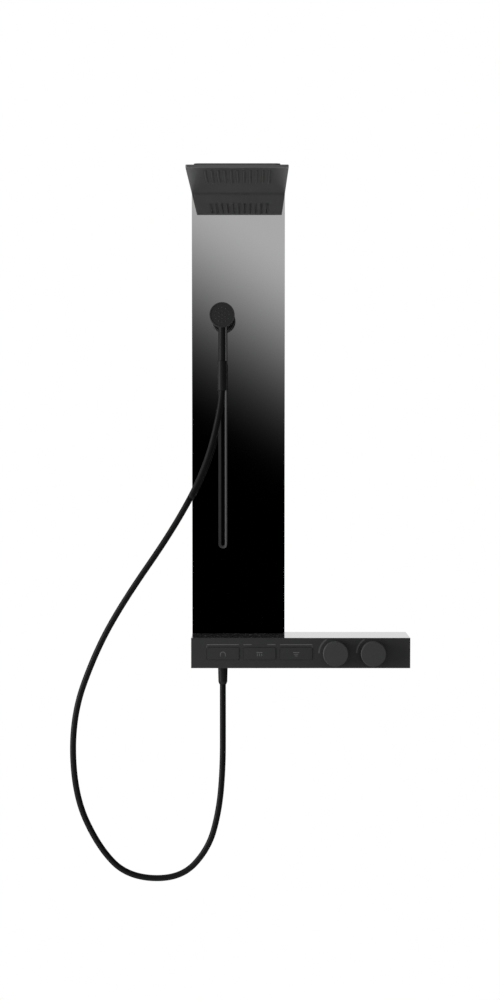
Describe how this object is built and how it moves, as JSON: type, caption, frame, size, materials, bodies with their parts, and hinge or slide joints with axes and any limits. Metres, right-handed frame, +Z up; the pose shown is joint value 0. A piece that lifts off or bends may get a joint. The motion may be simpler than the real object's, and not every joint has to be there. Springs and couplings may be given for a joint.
{
  "type": "shower set",
  "caption": "Wall shower set: a control bar with a shelf, push buttons and knobs, a mirror column, a flat overhead head and a sliding hand shower on a hose.",
  "frame": {"origin": "On the wall plane, behind the middle of the control bar in width and height.", "axes": "+X to the right as seen from the front, +Y into the wall, +Z up."},
  "size_m": [0.7794, 0.424, 1.6254],
  "materials": {
    "satin_black": "satin black coating",
    "polished_black": "polished black",
    "column_mirror": "polished mirror",
    "handset_black": "satin black",
    "black_sheath": "smooth satin black sheath",
    "soft_black": "soft black",
    "steel": "plain sheet",
    "brass": "as cast",
    "moulding": "plain moulding",
    "track_aluminium": "extruded"
  },
  "bodies": {
    "wall_unit": {"front_fascia": "satin_black", "button_guide": "moulding", "shelf_plate": "polished_black", "bar_housing": "satin_black", "end_cap_left": "satin_black", "end_cap_right": "satin_black", "valve_body": "brass", "flow_cartridge": "moulding", "thermostatic_cartridge": "moulding", "diverter_left": "moulding", "diverter_centre": "moulding", "diverter_right": "moulding", "inlet_union_left": "brass", "inlet_union_right": "brass", "inlet_filters": "steel", "hose_outlet": "brass", "outlet_washer": "soft_black", "hose_nut_lower": "satin_black", "hose_loop": "black_sheath", "column_panel": "column_mirror", "column_rail_left": "steel", "column_rail_right": "steel", "slot_trim": "satin_black", "slide_track": "track_aluminium", "track_bumpers": "soft_black", "head_tray": "satin_black", "head_cover": "satin_black", "spray_strips_rear": "soft_black", "spray_strips_front": "soft_black", "water_chamber": "moulding", "chamber_gasket": "soft_black", "head_bracket_left": "steel", "head_bracket_right": "steel", "bracket_screws": "steel", "riser_pipe_front": "moulding", "riser_pipe_rear": "moulding"},
    "slider": {"slide_carriage": "moulding", "carriage_pads": "moulding", "holder_arm": "satin_black", "glide_ring": "moulding"},
    "hand_shower": {"handset_dock": "handset_black", "handset_shell": "handset_black", "handset_faceplate": "handset_black", "handset_nozzles": "soft_black", "hose_nut_upper": "satin_black", "handset_washer": "soft_black", "hose_top": "black_sheath"},
    "left_button": {"button_left": "satin_black", "plunger_left": "moulding"},
    "centre_button": {"button_centre": "satin_black", "plunger_centre": "moulding"},
    "right_button": {"button_right": "satin_black", "plunger_right": "moulding"},
    "flow_control": {"flow_knob": "satin_black", "flow_spindle": "brass"},
    "temperature_control": {"temperature_knob": "satin_black", "temperature_spindle": "brass"}
  },
  "joints": [
    {"name": "slider_height", "type": "slide", "parent": "wall_unit", "child": "slider", "axis": [0, 0, 1], "range_m": [-0.518, 0], "deforming": ["hose_loop", "hose_top"]},
    {"name": "hand_shower_lift", "type": "slide", "parent": "slider", "child": "hand_shower", "axis": [0, 0, 1], "range_m": [0, 0.032], "deforming": ["hose_top"]},
    {"name": "left_button_press", "type": "slide", "parent": "wall_unit", "child": "left_button", "axis": [0, 1, 0], "range_m": [0, 0.004], "stiffness_N_per_m": 800, "springref_m": -0.002},
    {"name": "centre_button_press", "type": "slide", "parent": "wall_unit", "child": "centre_button", "axis": [0, 1, 0], "range_m": [0, 0.004], "stiffness_N_per_m": 800, "springref_m": -0.002},
    {"name": "right_button_press", "type": "slide", "parent": "wall_unit", "child": "right_button", "axis": [0, 1, 0], "range_m": [0, 0.004], "stiffness_N_per_m": 800, "springref_m": -0.002},
    {"name": "flow_turn", "type": "hinge", "parent": "wall_unit", "child": "flow_control", "pos_m": [0.079, -0.13, 0], "axis": [0, -1, 0], "range_deg": [0, 90]},
    {"name": "temperature_turn", "type": "hinge", "parent": "wall_unit", "child": "temperature_control", "pos_m": [0.165, -0.13, 0], "axis": [0, -1, 0], "range_deg": [-90, 90]}
  ]
}
